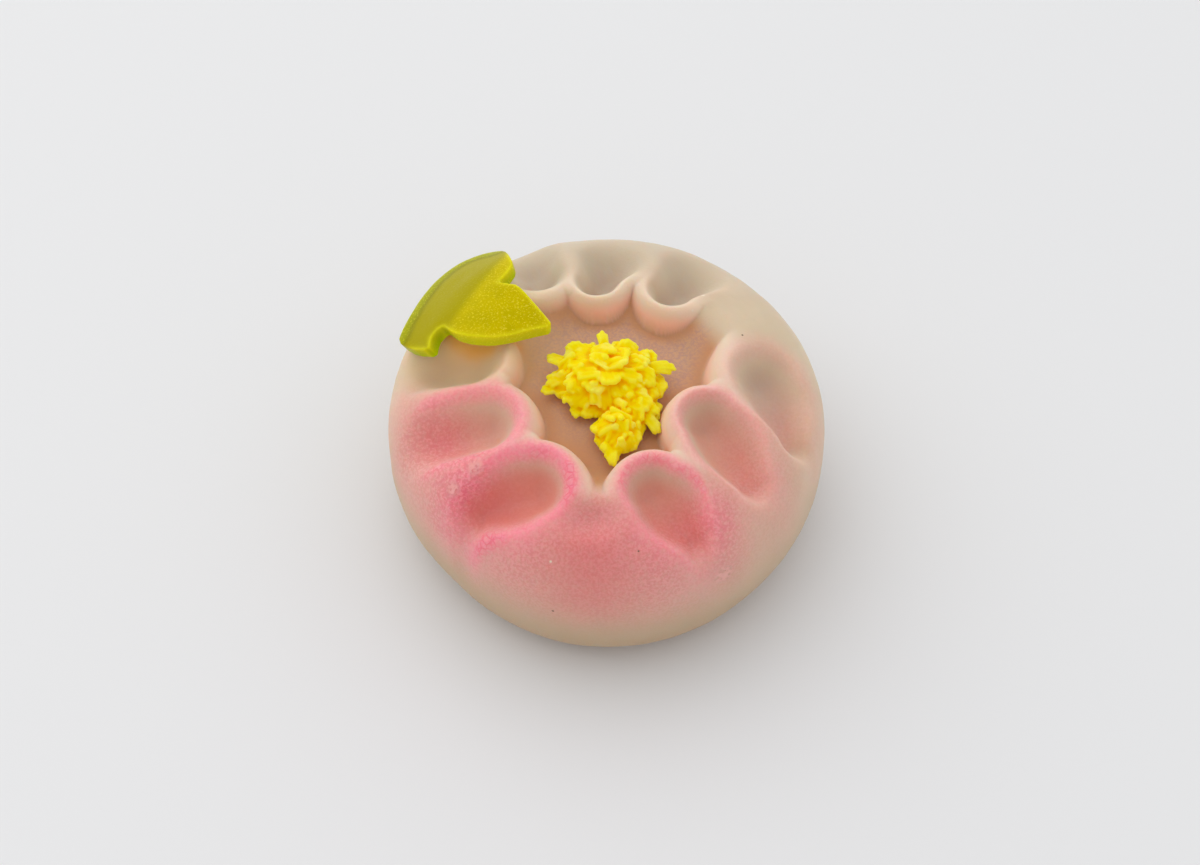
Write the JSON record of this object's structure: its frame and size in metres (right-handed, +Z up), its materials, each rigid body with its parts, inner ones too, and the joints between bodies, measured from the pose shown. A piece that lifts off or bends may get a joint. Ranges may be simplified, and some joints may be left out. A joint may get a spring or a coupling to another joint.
{
  "type": "flower-shaped bean-paste sweet",
  "caption": "Hand-pressed bean-paste sweet shaped as an open flower, with a crumbly heap of stamens in its hollow and a bent translucent jelly leaf over one shoulder.",
  "frame": {"origin": "middle of the flat foot that the sweet rests on, which is the middle of the bounding box in plan", "axes": "+Z up, -Y towards the viewer of the picture, +X to the viewer's right, so the leaf lies at -X and +Y"},
  "size_m": [0.046, 0.0456, 0.0247],
  "materials": {
    "bean_paste": "fine grained, slightly moist bean paste, dusted pink",
    "stamen_paste": "sieved yellow bean paste",
    "green_jelly": "translucent agar jelly with fine bubbles"
  },
  "bodies": {
    "root": {"bun": "bean_paste", "stamens": "stamen_paste", "leaf": "green_jelly"}
  },
  "joints": []
}
